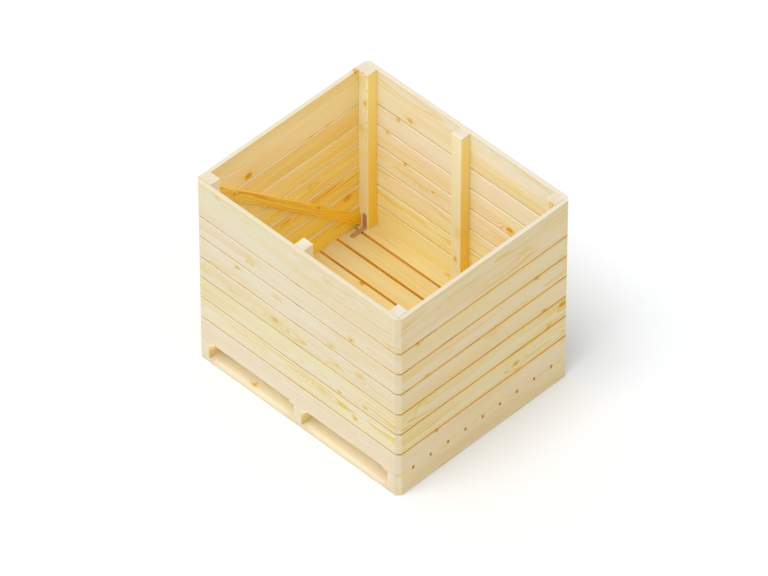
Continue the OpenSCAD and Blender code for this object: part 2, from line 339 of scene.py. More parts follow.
def wood_material(name, early, late, knot_colour):
    n = Nodes(name)
    grain = n.attribute("grain", "GEOMETRY")
    x, y, z = n.split(grain)
    pith_y, pith_z, seed = n.split(n.attribute("pith"))
    lean_y, lean_z, ring = n.split(n.attribute("drift"))
    seed_shift = n.combine(seed, n.times(seed, 1.7), n.times(seed, 0.6))
    normal = n.add("ShaderNodeNewGeometry").outputs["True Normal"]

    def figure(along, across, **settings):
        """Noise in grain space, with other scales along and across the fibres."""
        place = n.vector("ADD", n.vector("MULTIPLY", grain, (along, across, across)), seed_shift)
        return n.noise(place, **settings).outputs

    def faces(attribute):
        """The part of a face's normal that lies along one of the timber's directions."""
        return n.vector("DOT_PRODUCT", normal, n.attribute(attribute), "Value")

    # The pith line's slow waves, and smaller ones on top
    slow = n.split(figure(1.6, 7.0, detail=1.0)["Color"])
    quick = n.split(figure(7.0, 30.0)["Color"])

    def bent(value, pith, lean, i):
        value = n.minus(n.minus(value, pith), n.times(x, lean))
        value = n.plus(value, n.scaled(slow[i], SLOW_WAVE, -SLOW_WAVE / 2))
        return n.plus(value, n.scaled(quick[i], QUICK_WAVE, -QUICK_WAVE / 2))

    def squares(a, b):
        return n.plus(n.times(a, a), n.times(b, b))

    def length(a, b):
        return n.math("SQRT", squares(a, b))

    rings = n.over(length(bent(y, pith_y, lean_y, 0), bent(z, pith_z, lean_z, 1)), ring)

    # Knots push the rings aside and have fine rings of their own
    knot_mask, knot_shown, knot_edge, knot_rings, halo = 0.0, 0.0, 0.0, 0.0, 0.0
    ragged = figure(60.0, 60.0, detail=1.0)["Fac"]
    for knot, darkness in zip(KNOTS, n.split(n.attribute("dark"))):
        kx, ky, kr = n.split(n.attribute(knot))
        across = n.over(n.minus(y, ky), kr)
        along = n.over(n.plus(n.minus(x, kx), n.times(z, 0.25)), n.times(kr, KNOT_LENGTH))
        near = n.plus(length(across, along), n.scaled(ragged, 0.5, -0.25))
        swirl = squares(n.over(across, SWIRL_WIDTH), n.over(along, SWIRL_LENGTH))
        push = n.times(n.over(kr, ring), 1.5)
        rings = n.minus(rings, n.times(n.math("EXPONENT", n.times(swirl, -1.0)), push))
        mask = n.ramp(near, 0.82, 1.0, 1.0, 0.0)
        bark = n.times(n.ramp(near, 0.72, 0.92), n.ramp(near, 0.95, 1.25, 1.0, 0.0))
        core = n.ramp(near, 0.25, 0.75, 1.0, 0.0)
        halo = n.larger(halo, n.math("EXPONENT", n.times(swirl, -0.6)))
        knot_mask = n.larger(knot_mask, mask)
        knot_shown = n.larger(knot_shown, n.times(mask, darkness))
        knot_edge = n.larger(knot_edge, n.times(n.larger(bark, core), darkness))
        knot_rings = n.plus(knot_rings, n.times(mask, n.over(n.times(near, kr), KNOT_RING)))

    # Wide and narrow years, then each year from pale early wood to a darker late line, which
    # is faint on the narrow edges
    years = n.noise(n.scaled(rings, 0.33, seed), detail=1.0, dimensions="1D").outputs["Fac"]
    rings = n.plus(rings, n.times(years, 1.5))
    rings = n.plus(n.times(rings, n.minus(1.0, knot_mask)), knot_rings)
    year = n.math("FRACT", rings)
    late_wood = n.times(n.ramp(year, 0.35, 0.88), n.ramp(year, 0.92, 1.0, 1.0, 0.0))
    strong = figure(1.3, 16.0)["Fac"]
    strength = n.times(n.ramp(strong, 0.40, 0.68, 0.30, 1.0), n.split(n.attribute("lines"))[0])
    narrow = n.ramp(n.larger(faces("below"), faces("above")), 0.25, 0.8)
    strength = n.times(n.plus(strength, n.times(halo, 0.7)), n.scaled(narrow, -0.7, 1.0))
    strong_line = n.times(late_wood, strength)

    # Fibres, resin streaks and the board's broad colour changes
    fibre = figure(9.0, 800.0, rough=0.6)["Fac"]
    streak = figure(1.1, 120.0, detail=3.0, rough=0.6)["Fac"]
    broad = n.split(figure(1.5, 9.0, detail=1.0)["Color"])

    colour = n.mix(n.smaller(strong_line, 1.0), early, late)
    colour = n.mix(n.ramp(strong_line, 0.9, 2.0, 0.0, 0.65), colour, knot_colour)
    colour = n.mix(n.ramp(streak, 0.60, 0.78, 0.0, 0.5), colour, late)
    round_knot = n.times(n.ramp(halo, 0.45, 1.0), n.ramp(streak, 0.35, 0.6, 0.15, 0.6))
    colour = n.mix(round_knot, colour, late)
    colour = n.mix(n.ramp(knot_shown, 0.0, 0.8), colour, knot_colour)
    colour = n.mix(n.times(n.times(late_wood, knot_shown), 0.5), colour, rgb(*DARK_KNOT))
    colour = n.mix(n.times(knot_edge, 0.75), colour, rgb(*DARK_KNOT))
    colour = n.mix(n.ramp(broad[0], 0.35, 0.65), colour, n.tinted(colour, n.combine(*PINKISH)))
    colour = n.mix(n.ramp(broad[1], 0.40, 0.70), colour, n.tinted(colour, n.combine(*YELLOWISH)))
    shade = n.plus(n.scaled(fibre, 0.14, 0.93), n.scaled(streak, 0.10, -0.05))
    colour = n.tinted(colour, n.grey(shade))
    end_colour = n.tinted(colour, n.attribute("end_tone"))

    # Painted shade and bounce light on the inward faces, changing with the height, then the edges and
    # the timber's tone
    height = n.split(n.add("ShaderNodeTexCoord").outputs["Object"])[2]
    raised = n.ramp(height, 0.2 * TOP, 0.9 * TOP, smooth=False)
    inner_painted_light = n.mix(raised, n.attribute("low"), n.attribute("high"))
    colour = n.mix(n.ramp(faces("inward"), 0.5, 0.9), colour, n.tinted(colour, inner_painted_light))
    # Painted light and shade on the long edges, the faces in the gaps between boards
    colour = n.mix(narrow, colour, n.tinted(colour, n.attribute("edge_painted_light")))
    # The timber's tone: painted shade on the right wall, side boards and floor boards, painted light on
    # the posts
    colour = n.tinted(colour, n.attribute("tone"))

    # Handled edges: the middle one of the three distances to the timber's sides
    half = n.split(n.attribute("half"))
    a, b, c = (n.minus(h, n.math("ABSOLUTE", v)) for h, v in zip(half, (x, y, z)))
    edge_gap = n.larger(n.smaller(a, b), n.smaller(n.larger(a, b), c))
    scuff = figure(25.0, 60.0, detail=3.0)["Fac"]
    edge_gap = n.minus(edge_gap, n.times(scuff, 0.004))
    wear = n.ramp(edge_gap, -0.001, WEAR, 1.0, 0.0)
    colour = n.mix(wear, colour, n.tinted(colour, n.combine(*WORN)))

    # Open pores across the ends
    end = n.ramp(n.math("ABSOLUTE", faces("along")), 0.5, 0.8)
    pores = figure(700.0, 700.0, detail=1.0)["Fac"]
    colour = n.mix(end, colour, n.tinted(end_colour, n.grey(n.scaled(pores, 0.2, 0.9))))

    rough = n.scaled(late_wood, -0.10, 0.62)
    rough = n.plus(rough, n.scaled(fibre, 0.16, -0.08))
    rough = n.plus(rough, n.times(n.larger(wear, end), 0.12))
    relief = n.plus(n.times(late_wood, 0.35), n.times(fibre, 0.55))
    relief = n.plus(relief, n.times(scuff, n.times(wear, 0.8)))
    relief = n.minus(relief, n.times(knot_edge, 0.7))
    bump = n.add("ShaderNodeBump", {"Height": relief, "Strength": 0.5, "Distance": 0.0003})
    n.feed(n.shader, {"Base Color": colour, "Roughness": rough, "Normal": bump.outputs["Normal"],
                      "Specular IOR Level": 0.35})
    return n.material


# ------------------------ steel
def steel_material(name, base, worn, metallic, rough, speckle_scale):
    """Coated steel: cloudy colour, fine speckle and rubbed patches."""
    n = Nodes(name)
    place = n.add("ShaderNodeTexCoord").outputs["Object"]
    cloud = n.noise(place, 90.0, 3.0).outputs["Fac"]
    speckle = n.add("ShaderNodeTexVoronoi", {"Vector": place, "Scale": speckle_scale}).outputs["Color"]
    speckle = n.split(speckle)[0]
    rub = n.noise(place, 260.0, 4.0, 0.7).outputs["Fac"]
    rubbed = n.ramp(rub, 0.58, 0.72, 0.0, 0.7)
    shade = n.plus(n.scaled(cloud, 0.35, 0.72), n.times(speckle, 0.2))
    colour = n.tinted(n.mix(rubbed, base, worn), n.grey(shade))
    rough = n.plus(n.scaled(speckle, 0.12, rough), n.times(rubbed, -0.1))
    relief = n.plus(rub, n.times(speckle, 0.3))
    bump = n.add("ShaderNodeBump", {"Height": relief, "Strength": 0.35, "Distance": 0.0002})
    n.feed(n.shader, {"Base Color": colour, "Metallic": metallic, "Roughness": rough,
                      "Normal": bump.outputs["Normal"]})
    return n.material


# ------------------------ timbers
def corner_points(sign_a, sign_b, half_a, half_b, radius, wedge):
    """One rounded corner of a section: a flat strip, the arc, and a flat strip again.
    wedge = (amount, depth, height) turns the arc into a bevel as amount goes to 1."""
    ca, cb = sign_a * (half_a - radius), sign_b * (half_b - radius)
    first = {(-1, -1): 180, (1, -1): 270, (1, 1): 0, (-1, 1): 90}[(sign_a, sign_b)]
    arc = []
    for i in range(ARC_STEPS + 1):
        angle = math.radians(first + 90 * i / ARC_STEPS)
        arc.append(Vector((ca + radius * math.cos(angle), cb + radius * math.sin(angle))))
    amount, depth, height = wedge
    if amount > 0:
        on_side = Vector((sign_a * half_a, sign_b * (half_b - height)))
        on_face = Vector((sign_a * (half_a - depth), sign_b * half_b))
        ends = (on_side, on_face) if sign_a * sign_b > 0 else (on_face, on_side)
        arc = [p.lerp(ends[0].lerp(ends[1], i / ARC_STEPS), amount) for i, p in enumerate(arc)]
    arriving, leaving = Vector((0, -sign_b)), Vector((-sign_a, 0))
    if sign_a * sign_b < 0:
        arriving, leaving = leaving, arriving
    return [arc[0] + arriving * SUPPORT, *arc, arc[-1] + leaving * SUPPORT]


CORNERS = ((-1, -1), (1, -1), (1, 1), (-1, 1))


def timber(node, axes, centre, half, radii, reach, ramp=None, splits=()):
    """A sawn and planed timber.

    axes   its length, section a and section b directions
    half   half its length, and half its section along a and b
    radii  edge radius of each corner of the section
    reach  function (a, b) -> (start, end) along the length
    ramp   (corner, function of the place along the length -> 0..1, stops) for a fork bevel
    splits values of a at which the ends change direction
    """
    rng = random.Random(node)
    length_dir, a_dir, b_dir = axes
    half_length, half_a, half_b = half
    half_a -= SHY
    half_b -= SHY
    upright = half_a < half_b   # the width lies along b, and a bow too
    bow, sway = rng.uniform(-BOW, BOW), rng.uniform(-BOW, BOW) / 2
    if on_outside(node, b_dir if upright else a_dir):
        bow = sway = 0.0
    dents = [(rng.uniform(-0.95, 0.95) * half_length, rng.randrange(4), rng.uniform(0.2, 1.0))
             for _ in range(rng.randint(2, 5))]

    def outline(place, inset):
        points = []
        for i, (sa, sb) in enumerate(CORNERS):
            wave = math.sin(place * (9 + 4 * i) + i * 1.7 + bow * 9000)
            radius = radii[i] * (1 + EDGE_WAVE * wave)
            for where, corner, depth in dents:
                if corner == i and radii[i] > SEAM_EDGE:
                    radius += DENT_DEPTH * depth * math.exp(-((place - where) / DENT_LENGTH) ** 2)
            wedge = (0.0, 0.0, 0.0)
            if ramp and ramp[0] == i:
                wedge = (ramp[1](place), RAMP_DEPTH, RAMP_HEIGHT)
            radius = max(radius - inset, LEAST_EDGE)
            points += corner_points(sa, sb, half_a - inset, half_b - inset, radius, wedge)
        for a in splits:
            points = with_split(points, a)
        return points

    def bowed(place):
        share = place / half_length
        return bow * (1 - share * share) + sway * math.sin(math.pi * share)

    # Sections: evenly spaced, at the dents and at the fork bevel's ends, clear of the cut corners
    steps = max(2, round(2 * half_length / STATION_STEP))
    stops = {0.0} | {-half_length + 2 * half_length * i / steps for i in range(1, steps)}
    for where, _, _ in dents:
        stops |= {where + d * DENT_LENGTH for d in (-2, -1, -0.5, 0, 0.5, 1, 2)}
    if ramp:
        stops |= set(ramp[2])
    stops = sorted(s for s in stops if abs(s) < half_length - BOARD_T - END_CLEAR)

    # Rounded ends, as (distance into the timber, inset of the section)
    ends = [(0.0, END_EASE), (0.3 * END_EASE, 0.3 * END_EASE), (END_EASE, 0.0),
            (END_EASE + SUPPORT, 0.0)]
    vertices, grain = [], []

    def add_ring(points, places):
        for point, place in zip(points, places):
            shift = bowed(max(-half_length, min(half_length, place)))
            local = Vector((place, point.x, point.y + (shift if upright else 0.0)))
            off_side = 0.0 if upright else shift
            on_axis = centre + length_dir * local.x
            vertices.append(on_axis + a_dir * (local.y + off_side) + b_dir * local.z)
            grain.append((local.x, local.z, local.y) if upright else tuple(local))

    for into, inset in ends:
        points = outline(-half_length, inset)
        add_ring(points, [reach(p.x, p.y)[0] + SHY + into for p in points])
    for stop in stops:
        points = outline(stop, 0.0)
        add_ring(points, [stop] * len(points))
    for into, inset in reversed(ends):
        points = outline(half_length, inset)
        add_ring(points, [reach(p.x, p.y)[1] - SHY - into for p in points])

    faces = tube_faces(2 * len(ends) + len(stops), len(points))
    sides = len(faces)
    last = len(vertices) - len(points)
    for loop in cap_loops(outline(half_length, END_EASE), splits):
        faces.append(tuple(reversed(loop)))
        faces.append(tuple(last + i for i in loop))

    piece = closed_mesh("wood_" + node, vertices, faces, lambda i, face: i < sides)
    mesh = piece.data
    layer = mesh.attributes.new("grain", "FLOAT_VECTOR", "POINT")
    layer.data.foreach_set("vector", [value for point in grain for value in point])
    piece["half"] = (half_length, max(half_a, half_b), min(half_a, half_b))
    piece["along"] = tuple(length_dir)
    finish_wood(piece, node, rng, b_dir if upright else a_dir)


def on_outside(node, direction):
    """Whether a bow along the direction would push a timber out of the whole box."""
    low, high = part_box(node)
    gaps = [min(low[i] - lowest[i], highest[i] - high[i]) for i in range(3)]
    return any(abs(direction[i]) > 0.9 and gaps[i] < BOW for i in range(3))


def with_split(points, a):
    """The outline with a point added on both long sides at a."""
    result = []
    for i, point in enumerate(points):
        after = points[(i + 1) % len(points)]
        result.append(point)
        if (point.x - a) * (after.x - a) < 0 and abs(point.y - after.y) < 1e-9:
            result.append(Vector((a, point.y)))
    return result


def cap_loops(points, splits):
    """Rings of point numbers that close a timber's end, one for each flat part of it."""
    if not splits:
        return [list(range(len(points)))]
    on_line = [i for i, p in enumerate(points) if abs(p.x - splits[0]) < 1e-9]
    first, second = on_line
    return [list(range(first, second + 1)), [*range(second, len(points)), *range(first + 1)]]


def tube_faces(rings, size):
    """Faces between each ring of points and the next one."""
    faces = []
    for this in range(0, (rings - 1) * size, size):
        for i in range(size):
            j = (i + 1) % size
            faces.append((this + i, this + j, this + size + j, this + size + i))
    return faces


def closed_mesh(name, vertices, faces, smooth):
    """An object with its faces turned outwards; smooth(i, face) says which ones are smooth."""
    mesh = bpy.data.meshes.new(name)
    mesh.from_pydata(vertices, [], faces)
    mesh.validate()
    mesh.polygons.foreach_set("use_smooth", [smooth(i, face) for i, face in enumerate(mesh.polygons)])
    bm = bmesh.new()
    bm.from_mesh(mesh)
    bmesh.ops.recalc_face_normals(bm, faces=bm.faces)
    bm.to_mesh(mesh)
    bm.free()
    piece = bpy.data.objects.new(name, mesh)
    bpy.context.scene.collection.objects.link(piece)
    return piece


def add_piece(piece, node, material):
    """Gives a piece its material, and ties it to the frame in the place of its CAD node."""
    piece.data.materials.append(material)
    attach(piece, BODY)
    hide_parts(node)


# How a timber was sawn from the log
FLAT, RIFT, QUARTER = "flat", "rift", "quarter"

# Knots and swirls of the more marked timbers: place along and across as shares of the half
# length and half width, radius, and darkness
MARKS = {
    **numbered("front_board", 1, ((-0.78, 0.60, 0.006, 0.15), (0.30, -0.20, 0.007, 0.05)),
        ((0.92, -0.55, 0.008, 0.10),),
        ((0.53, -0.72, 0.008, 0.50), (-0.46, 0.20, 0.012, 0.05)),
        ((-0.59, 0.60, 0.008, 0.40), (0.34, -0.70, 0.008, 0.25), (-0.20, 0.30, 0.010, 0.05)),
        ((-0.22, 0.00, 0.011, 0.35), (0.62, 0.40, 0.011, 0.15)),
        ((0.67, -0.46, 0.005, 0.60), (0.42, -0.74, 0.006, 0.40)),
        ((0.57, -0.27, 0.007, 0.45), (0.24, 0.20, 0.010, 0.0), (0.05, 0.35, 0.006, 0.0)), ()),
    **numbered("right_board", 1, (), ((0.48, 0.70, 0.016, 0.05),), ((-0.80, 0.95, 0.006, 0.50),),
        ((0.64, 0.95, 0.008, 0.40), (-0.69, -0.95, 0.007, 0.40)),
        ((0.73, -0.92, 0.009, 0.60), (0.10, 0.70, 0.016, 0.0)),
        ((0.955, 0.52, 0.013, 1.0), (-0.76, 0.75, 0.012, 0.05), (0.79, -0.95, 0.008, 0.55)),
        ((0.39, -0.12, 0.011, 0.55), (0.41, -0.80, 0.005, 0.40)), ((-0.57, 0.92, 0.006, 0.60),)),
    **numbered("left_board", 1, ((0.86, 0.90, 0.007, 0.60),), ((-0.44, -0.54, 0.014, 0.80),), (), (),
        ((0.30, 0.30, 0.008, 0.05),), (), ((0.75, 0.50, 0.016, 0.55),)),
    **numbered("back_board", 1, (), ((-0.55, -0.40, 0.012, 0.45), (0.50, 0.20, 0.006, 0.1)),
        ((-0.67, 0.90, 0.007, 0.50),), ((0.44, -0.44, 0.013, 0.80), (-0.78, 0.90, 0.007, 0.40)),
        ((-0.32, 0.10, 0.006, 0.55), (-0.60, 0.95, 0.006, 0.5)), ()),
    **numbered("floor_board", 6, (), ((-0.52, 0.90, 0.008, 0.70),), (), ((0.25, 0.20, 0.010, 0.15),)),
    "side_board_right": (),
    "post_back_left": ((0.60, 0.35, 0.008, 0.45), (0.26, -0.31, 0.011, 0.10), (0.85, -0.30, 0.012, 0.0)),
    "post_back_mid": ((-0.25, 0.40, 0.012, 0.10), (-0.60, -0.10, 0.009, 0.45)),
    "skid_front": ((-0.49, -0.50, 0.008, 0.45),),
    "brace_left": ((0.40, 0.60, 0.004, 0.70), (-0.72, 0.10, 0.006, 0.25)),
}


def finish_wood(piece, node, rng, across):
    """Draws this timber's own pith, leaning, colour and knots, and hands it over."""
    half_length, half_width, half_thick = piece["half"]
    cut = rng.choices((FLAT, RIFT, QUARTER), (5, 3, 2))[0]
    depth = {FLAT: rng.uniform(0.02, 0.05), RIFT: rng.uniform(0.05, 0.09),
             QUARTER: rng.uniform(0.0, 0.02)}[cut]
    side = {FLAT: rng.uniform(-0.5, 0.5), RIFT: rng.choice((-1, 1)) * rng.uniform(1.0, 1.8),
            QUARTER: rng.choice((-1, 1)) * rng.uniform(2.5, 3.5)}[cut]
    piece["pith"] = (side * half_width, rng.choice((-1, 1)) * (half_thick + depth), rng.uniform(0, 90))
    lean = 0.016 if half_length > 0.5 else 0.012
    lean_y, lean_z = rng.uniform(-lean, lean), rng.uniform(-2 * lean, 2 * lean)
    ring_width = rng.uniform(0.0042, 0.0062)
    light = rng.uniform(0.98, 1.01)
    yellow, lines, wide = SHADES.get(node, (rng.uniform(-0.5, 0.5), rng.uniform(0.8, 1.2), 1.0))
    piece["drift"] = (lean_y, lean_z, ring_width * wide)
    piece["lines"] = (lines, 0.0, 0.0)

    group = next(values for start, values in GROUPS.items() if node.startswith(start))
    # The group's whole tone, painted shade or painted light for some groups, with this timber's own
    # variation
    red, green, blue = group.get("whole", PLAIN)
    piece["tone"] = (light * red, light * green * (1 + 0.012 * yellow),
                     light * blue * (1 - 0.16 * yellow))
    # Painted shade and bounce light of the faces turned to inward, at the rim and at the floor
    for name in ("high", "low"):
        piece[name] = group.get(name, PLAIN)
    piece["inward"] = tuple(float(v) for v in group.get("inward", (0, 0, 0)))
    piece["end_tone"] = group.get("end", PLAIN)
    # Painted light and shade of the long edges
    piece["edge_painted_light"] = group.get("edge", PLAIN)
    # The top board's edges get no wall tone, so the right wall's painted shade stays off the rim
    if node.endswith("_board_1") and node != "floor_board_1":
        piece["edge_painted_light"] = (1 / red, 1 / green, 1 / blue)     # the rim is free of its wall's tone
    # The first and last floor board's outer edges belong to the outside and have no painted gap shade
    piece["below"] = tuple(across * (0.0 if node == "floor_board_1" else -1.0))
    piece["above"] = tuple(across * (0.0 if node == f"floor_board_{FLOOR_BOARDS}" else 1.0))

    count = rng.choices((0, 1, 2), (5, 4, 1))[0]
    knots = [(rng.uniform(-0.95, 0.95), rng.uniform(-0.8, 0.8), rng.uniform(0.003, 0.007),
              rng.uniform(0.2, 0.6)) for _ in range(count)]
    knots = MARKS.get(node, knots)
    darks = [0.0, 0.0, 0.0]
    for i, name in enumerate(KNOTS):
        piece[name] = NO_KNOT
        if i < len(knots):
            along, over, radius, darks[i] = knots[i]
            piece[name] = (along * half_length, over * half_width, radius)
    piece["dark"] = darks
    add_piece(piece, node, WOODS[SLOTS[node]])


def box_of(node):
    low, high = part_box(node)
    return (low + high) / 2, (high - low) / 2


X, Y, Z = Vector((1, 0, 0)), Vector((0, 1, 0)), Vector((0, 0, 1))
ALONG_X, ALONG_Y = (X, Y, Z), (Y, X, Z)


def board(node, axes, radii, **extra):
    """A board with its ends on the cut corners; axes are its length, section a and b directions."""
    centre, half = box_of(node)

    def reach(a, b):
        end = min(half.dot(axes[0]), PLAN_SUM - abs(centre.dot(axes[1]) + a))
        return -end, end
    timber(node, axes, centre, [half.dot(axis) for axis in axes], radii, reach, **extra)


def square_timber(node, axes, radius):
    """A post or stringer with square ends."""
    centre, half = box_of(node)
    sizes = [half.dot(axis) for axis in axes]
    timber(node, axes, centre, sizes, [radius] * 4, lambda a, b: (-sizes[0], sizes[0]))


def edge_radii(below, above):
    """Radii in the order of CORNERS."""
    return [below, below, above, above]


def wall_board_radii(k):
    """Wall boards are sharp at the seam under the top one and where the lowest meets the floor."""
    below = SEAM_EDGE if k in (1, WALL_BOARDS) else BOARD_EDGE
    return edge_radii(below, SEAM_EDGE if k == 2 else BOARD_EDGE)


def fork_ramp(corner):
    """The fork bevels along a board's edge, stopped short of the stringers."""
    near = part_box("stringer_mid")[1].x + RAMP_STOP
    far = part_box("stringer_right")[0].x - RAMP_STOP

    def amount(place):
        inside = min(abs(place) - near, far - abs(place))
        return max(0.0, min(1.0, inside / RAMP_RUNOUT))
    half = RAMP_RUNOUT / 2
    stops = [near, near + half, near + 2 * half, far - 2 * half, far - half, far]
    return corner, amount, stops + [-stop for stop in stops]


def make_brace(node):
    """A brace whose two ends are cut upright against the posts."""
    centre, half = box_of(node)
    run = 2 * half.y
    slope = 0.0
    for _ in range(20):
        slope = math.atan2(2 * half.z - BRACE_WIDTH / math.cos(slope), run)
    along = Vector((0, math.cos(slope), -math.sin(slope)))
    upward = Vector((0, math.sin(slope), math.cos(slope)))
    half_length = half.y / math.cos(slope)

    def reach(a, b):
        shift = b * math.tan(slope)
        return -half_length - shift, half_length - shift
    timber(node, (along, X, upward), centre, (half_length, half.x, BRACE_WIDTH / 2),
           [TIMBER_EDGE / 2] * 4, reach)


# ------------------------ fasteners
def lathe(profile, segments):
    """Rings of points round Z from (radius, height) pairs, with its faces."""
    points = []
    for radius, height in profile:
        for i in range(segments):
            angle = 2 * math.pi * i / segments
            points.append(Vector((radius * math.cos(angle), radius * math.sin(angle), height)))
    bottom, top = tuple(reversed(range(segments))), tuple(range(len(points) - segments, len(points)))
    return points, [*tube_faces(len(profile), segments), bottom, top]


NAIL_LENGTH, BRACE_NAIL_LENGTH = 0.060, 0.028
NAIL_RADIUS, NAIL_HEAD = 0.0014, 0.0032
# Places of the nails across a board, as shares of its width
LONG_WALL_NAILS, SHORT_WALL_NAILS, DECK_NAILS = (0.25, 0.75), (0.12, 0.88), (0.25, 0.75)
SIDE_NAIL_HEIGHT = 0.6      # as a share of the side board's height


def nail_shape(length):
    """A nail pointing down from its head's top at Z = 0: tip, shank, flat head with a soft rim."""
    r, head = NAIL_RADIUS, NAIL_HEAD
    profile = [(0.0002, -length), (r, -length + 0.004), (r, -0.0016), (head * 0.8, -0.0012),
               (head, -0.0009), (head, -0.0003), (head * 0.93, -0.00008), (head * 0.6, 0.0)]
    return lathe(profile, 14)


def nail_places():
    """Where every nail's head is, the way it points, and its length."""
    for wall, sign in zip(LONG_WALLS, (-1, 1)):
        posts = [f"post_{wall}_{post}" for post in POSTS]
        yield from wall_nail_places(wall, posts, LONG_WALL_NAILS, 1, sign)
    for wall, sign in zip(SHORT_WALLS, (-1, 1)):
        posts = [f"post_{other}_{wall}" for other in LONG_WALLS]
        yield from wall_nail_places(wall, posts, SHORT_WALL_NAILS, 0, sign)
        yield from brace_nail_places(wall, sign)
        yield from side_nail_places(wall, sign)
    for post in POSTS:
        x = box_of(f"stringer_{post}")[0].x
        for k in range(1, FLOOR_BOARDS + 1):
            low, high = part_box(f"floor_board_{k}")
            for share in DECK_NAILS:
                yield Vector((x, low.y + share * (high.y - low.y), high.z)), -Z, NAIL_LENGTH
        for wall in LONG_WALLS:
            low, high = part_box(f"skid_{wall}")
            for share in DECK_NAILS:
                yield Vector((x, low.y + share * (high.y - low.y), low.z)), Z, NAIL_LENGTH


def wall_nail_places(wall, posts, shares, axis, sign):
    """Nails of a wall's boards into posts, along an axis, from the wall's outer face."""
    for k in range(1, WALL_BOARDS + 1):
        low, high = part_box(f"{wall}_board_{k}")
        for post in posts:
            place = box_of(post)[0]
            place[axis] = sign * highest[axis]
            for share in shares:
                place.z = low.z + share * (high.z - low.z)
                yield place.copy(), -sign * (X, Y)[axis], NAIL_LENGTH


def brace_nail_places(wall, sign):
    """One nail in each wall board, on the brace's middle line."""
    low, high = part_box(f"brace_{wall}")
    face = low.x if sign > 0 else high.x
    upright = high.z - low.z
    cut = BRACE_WIDTH / math.cos(math.atan2(upright - BRACE_WIDTH, high.y - low.y))
    for k in range(2, WALL_BOARDS + 1):
        z = box_of(f"{wall}_board_{k}")[0].z
        y = high.y - (z - low.z - cut / 2) * (high.y - low.y) / (upright - cut)
        yield Vector((face, y, z)), sign * X, BRACE_NAIL_LENGTH


def side_nail_places(wall, sign):
    """One nail in the side board under every second floor gap."""
    z = SIDE_NAIL_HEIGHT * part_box(f"side_board_{wall}")[1].z
    for k in range(2, FLOOR_BOARDS + 1, 2):
        y = (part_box(f"floor_board_{k - 1}")[1].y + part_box(f"floor_board_{k}")[0].y) / 2
        yield Vector((sign * HALF_L, y, z)), -sign * X, NAIL_LENGTH


def placed(shape, place, direction, spin=0.0):
    """A shape that points down -Z, turned to point along direction and moved to place."""
    points, faces = shape
    turn = (-direction).to_track_quat("Z", "Y").to_matrix() @ Matrix.Rotation(spin, 3, "Z")
    return [place + turn @ p for p in points], faces


def joined(name, shapes):
    """One mesh object from many separate closed shapes."""
    vertices, faces = [], []
    for points, loops in shapes:
        start = len(vertices)
        vertices += points
        faces += [tuple(start + i for i in loop) for loop in loops]
    return closed_mesh(name, vertices, faces, lambda i, face: len(face.vertices) == 4)


def make_nails():
    rng = random.Random("nails")
    shapes = {length: nail_shape(length) for length in (NAIL_LENGTH, BRACE_NAIL_LENGTH)}
    nails = joined("steel_nails", [placed(shapes[length], place, way, rng.uniform(0, math.tau))
                                   for place, way, length in nail_places()])
    add_piece(nails, "nails", STEELS["nail_steel"])


# ------------------------ corner brackets
BRACKET_T = 0.004
BRACKET_BEND = 0.003        # inner radius of the bend
SCREW_RADIUS, SCREW_HEAD, SCREW_HEAD_H, SCREW_LENGTH = 0.002, 0.0042, 0.0022, 0.016
FLOOR_LEG_SCREWS, POST_LEG_SCREWS = (0.042, 0.068), (0.030, 0.070)
BRACKET_INSET = 0.036


def bracket_sites():
    """Corner of each bracket where post meets floor, and the way into the box along Y."""
    for wall in LONG_WALLS:
        for end in SHORT_WALLS:
            low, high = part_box(f"post_{wall}_{end}")
            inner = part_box(f"{end}_board_8")
            x = inner[0].x - BRACKET_INSET if end == "right" else inner[1].x + BRACKET_INSET
            way = 1 if wall == "front" else -1
            yield Vector((x, high.y if wall == "front" else low.y, low.z)), way


